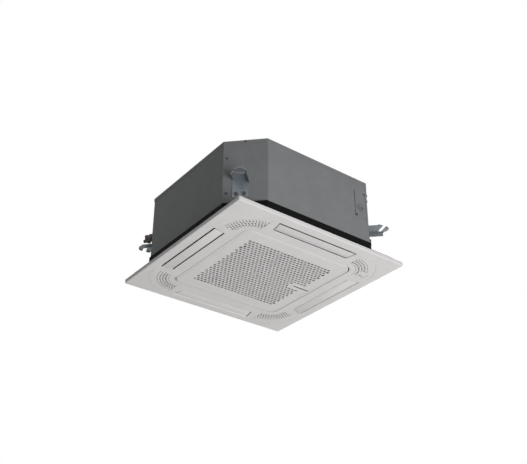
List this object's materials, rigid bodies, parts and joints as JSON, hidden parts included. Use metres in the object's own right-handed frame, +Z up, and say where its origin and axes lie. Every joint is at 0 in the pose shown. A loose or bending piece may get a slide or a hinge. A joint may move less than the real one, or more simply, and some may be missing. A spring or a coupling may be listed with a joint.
{
  "type": "ceiling cassette air conditioner",
  "caption": "Square cassette air conditioner hung above a ceiling grid, with a perforated suction grille, dotted corner covers and an outlet louver along each side of its panel.",
  "frame": {"origin": "middle of the ceiling plane, on top of the panel's gasket, under the body", "axes": "+Z up into the ceiling void, -Y towards the wall with the wiring cover, -X towards the wall beside the pipes"},
  "size_m": [0.62, 0.62, 0.27],
  "materials": {
    "galvanised": "satin",
    "wall_steel": "satin",
    "bright_metal": "satin",
    "copper": "satin",
    "brass": "satin",
    "black_foam": "matte",
    "black_plastic": "matte",
    "white_plastic": "satin",
    "board": "gloss",
    "smoked": "gloss",
    "filter_net": "matte"
  },
  "bodies": {
    "cabinet": {"top_plate": "galvanised", "hanger_bracket_right": "galvanised", "hanger_bracket_far": "galvanised", "hanger_bracket_left": "galvanised", "hanger_bracket_near": "galvanised", "bracket_bolts": "galvanised", "body_screws": "galvanised", "tube_sheets": "galvanised", "pipe_plate": "galvanised", "control_box": "galvanised", "control_cover": "galvanised", "motor_studs": "galvanised", "motor_nuts": "galvanised", "panel_screws": "galvanised", "wall_front": "wall_steel", "wall_right": "wall_steel", "wall_back": "wall_steel", "wall_left": "wall_steel", "wiring_cover": "wall_steel", "fan_motor": "bright_metal", "coil_fins": "bright_metal", "coil_bends": "copper", "gas_header": "copper", "liquid_header": "copper", "gas_pipe": "copper", "liquid_pipe": "copper", "flare_unions": "brass", "foam_liner": "black_foam", "drain_pan": "black_foam", "panel_gasket": "black_foam", "bell_mouth": "black_plastic", "motor_grommets": "black_plastic", "drain_pump": "black_plastic", "drain_hose": "black_plastic", "air_sensor": "black_plastic", "louver_motors": "black_plastic", "float_guide": "white_plastic", "drain_socket": "white_plastic", "terminal_block": "white_plastic", "panel_frame": "white_plastic", "corner_cover_right": "white_plastic", "corner_cover_far": "white_plastic", "corner_cover_left": "white_plastic", "corner_cover_near": "white_plastic", "circuit_board": "board", "receiver_window": "smoked"},
    "fan": {"fan_wheel": "black_plastic", "motor_shaft": "bright_metal", "fan_nut": "galvanised"},
    "impeller": {"pump_impeller": "white_plastic"},
    "float": {"pump_float": "black_foam"},
    "louver_front": {"louver_front": "white_plastic"},
    "louver_right": {"louver_right": "white_plastic"},
    "louver_back": {"louver_back": "white_plastic"},
    "louver_left": {"louver_left": "white_plastic"},
    "grille": {"suction_grille": "white_plastic", "filter_frame": "black_plastic", "filter_mesh": "filter_net"},
    "latch": {"grille_latch": "black_plastic"}
  },
  "joints": [
    {"name": "fan_spin", "type": "hinge", "parent": "cabinet", "child": "fan", "pos_m": [0, 0, 0.15], "axis": [0, 0, 1], "continuous": true},
    {"name": "impeller_spin", "type": "hinge", "parent": "cabinet", "child": "impeller", "pos_m": [-0.17112, 0.1994, 0.04], "axis": [0, 0, 1], "continuous": true},
    {"name": "float_slide", "type": "slide", "parent": "cabinet", "child": "float", "axis": [0, 0, 1], "range_m": [0, 0.012]},
    {"name": "louver_front_hinge", "type": "hinge", "parent": "cabinet", "child": "louver_front", "pos_m": [0, -0.2545, -0.0055], "axis": [1, 0, 0], "range_deg": [0, 60]},
    {"name": "louver_right_hinge", "type": "hinge", "parent": "cabinet", "child": "louver_right", "pos_m": [0.2545, 0, -0.0055], "axis": [0, 1, 0], "range_deg": [0, 60]},
    {"name": "louver_back_hinge", "type": "hinge", "parent": "cabinet", "child": "louver_back", "pos_m": [0, 0.2545, -0.0055], "axis": [-1, 0, 0], "range_deg": [0, 60]},
    {"name": "louver_left_hinge", "type": "hinge", "parent": "cabinet", "child": "louver_left", "pos_m": [-0.2545, 0, -0.0055], "axis": [0, -1, 0], "range_deg": [0, 60]},
    {"name": "grille_hinge", "type": "hinge", "parent": "cabinet", "child": "grille", "pos_m": [-0.193, 0, -0.011], "axis": [0, 1, 0], "range_deg": [0, 80]},
    {"name": "latch_slide", "type": "slide", "parent": "grille", "child": "latch", "axis": [-1, 0, 0], "range_m": [0, 0.007], "stiffness_N_per_m": 150, "springref_m": -0.003}
  ]
}
